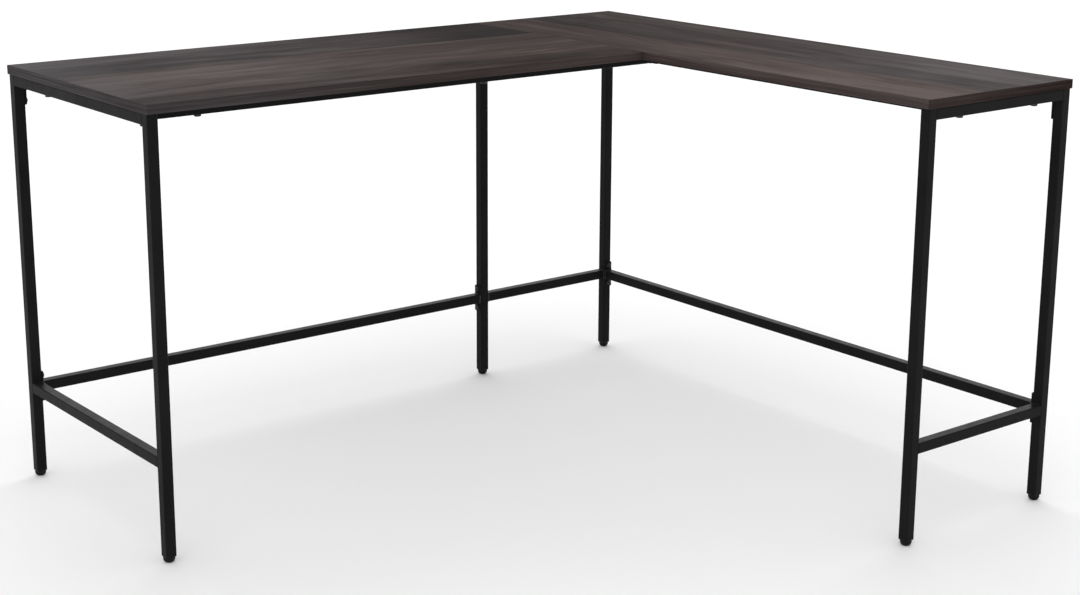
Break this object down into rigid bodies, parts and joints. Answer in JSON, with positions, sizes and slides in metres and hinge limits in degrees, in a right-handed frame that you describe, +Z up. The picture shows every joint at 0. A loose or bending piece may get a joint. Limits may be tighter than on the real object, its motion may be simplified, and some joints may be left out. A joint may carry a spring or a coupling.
{
  "type": "corner desk",
  "caption": "L-shaped corner desk: two dark wood-grain tops on a black square-tube frame with low stretchers and levelling feet.",
  "frame": {"origin": "on the floor under the middle of the desk's rectangular outline", "axes": "+X along the back edge towards the return, +Y to the back, +Z up"},
  "size_m": [1.38, 1.22, 0.76],
  "materials": {
    "main_laminate": "smoked wood-grain laminate, low sheen",
    "return_laminate": "smoked wood-grain laminate, low sheen",
    "edge_band": "matching wood-grain edge band",
    "beech_dowel": "plain beech",
    "black_frame": "fine-textured black powder coat",
    "black_bolt": "black oxide",
    "black_screw": "black phosphate",
    "zinc_steel": "bright zinc plate",
    "foot_plastic": "moulded black, fine grain",
    "insert_plastic": "moulded black"
  },
  "bodies": {
    "desk": {"back_stretcher": "black_frame", "back_stretcher_plates": "black_frame", "back_top_rail": "black_frame", "back_top_rail_plates": "black_frame", "board_inserts": "zinc_steel", "board_screws": "black_screw", "corner_stretcher": "black_frame", "corner_top_rail": "black_frame", "frame_bolts": "black_bolt", "front_left_leg": "black_frame", "front_left_leg_insert": "insert_plastic", "front_support_rail": "black_frame", "front_support_rail_plates": "black_frame", "inner_support_rail": "black_frame", "inner_support_rail_plates": "black_frame", "left_end_stretcher": "black_frame", "left_end_top_rail": "black_frame", "main_edge_bands": "edge_band", "main_top": "main_laminate", "rear_corner_leg": "black_frame", "rear_corner_leg_insert": "insert_plastic", "rear_left_leg": "black_frame", "rear_left_leg_insert": "insert_plastic", "rear_middle_leg": "black_frame", "rear_middle_leg_insert": "insert_plastic", "return_edge_bands": "edge_band", "return_end_stretcher": "black_frame", "return_end_top_rail": "black_frame", "return_inner_leg": "black_frame", "return_inner_leg_insert": "insert_plastic", "return_outer_leg": "black_frame", "return_outer_leg_insert": "insert_plastic", "return_top": "return_laminate", "rivet_nuts": "zinc_steel", "seam_dowels": "beech_dowel", "side_stretcher": "black_frame", "side_stretcher_plates": "black_frame", "side_top_rail": "black_frame", "side_top_rail_plates": "black_frame"},
    "rear_left_foot": {"rear_left_foot_pad": "foot_plastic", "rear_left_foot_stud": "zinc_steel"},
    "front_left_foot": {"front_left_foot_pad": "foot_plastic", "front_left_foot_stud": "zinc_steel"},
    "rear_middle_foot": {"rear_middle_foot_pad": "foot_plastic", "rear_middle_foot_stud": "zinc_steel"},
    "rear_corner_foot": {"rear_corner_foot_pad": "foot_plastic", "rear_corner_foot_stud": "zinc_steel"},
    "return_inner_foot": {"return_inner_foot_pad": "foot_plastic", "return_inner_foot_stud": "zinc_steel"},
    "return_outer_foot": {"return_outer_foot_pad": "foot_plastic", "return_outer_foot_stud": "zinc_steel"}
  },
  "joints": [
    {"name": "rear_left_foot_height", "type": "slide", "parent": "desk", "child": "rear_left_foot", "axis": [0, 0, -1], "range_m": [0, 0.012]},
    {"name": "front_left_foot_height", "type": "slide", "parent": "desk", "child": "front_left_foot", "axis": [0, 0, -1], "range_m": [0, 0.012]},
    {"name": "rear_middle_foot_height", "type": "slide", "parent": "desk", "child": "rear_middle_foot", "axis": [0, 0, -1], "range_m": [0, 0.012]},
    {"name": "rear_corner_foot_height", "type": "slide", "parent": "desk", "child": "rear_corner_foot", "axis": [0, 0, -1], "range_m": [0, 0.012]},
    {"name": "return_inner_foot_height", "type": "slide", "parent": "desk", "child": "return_inner_foot", "axis": [0, 0, -1], "range_m": [0, 0.012]},
    {"name": "return_outer_foot_height", "type": "slide", "parent": "desk", "child": "return_outer_foot", "axis": [0, 0, -1], "range_m": [0, 0.012]}
  ]
}
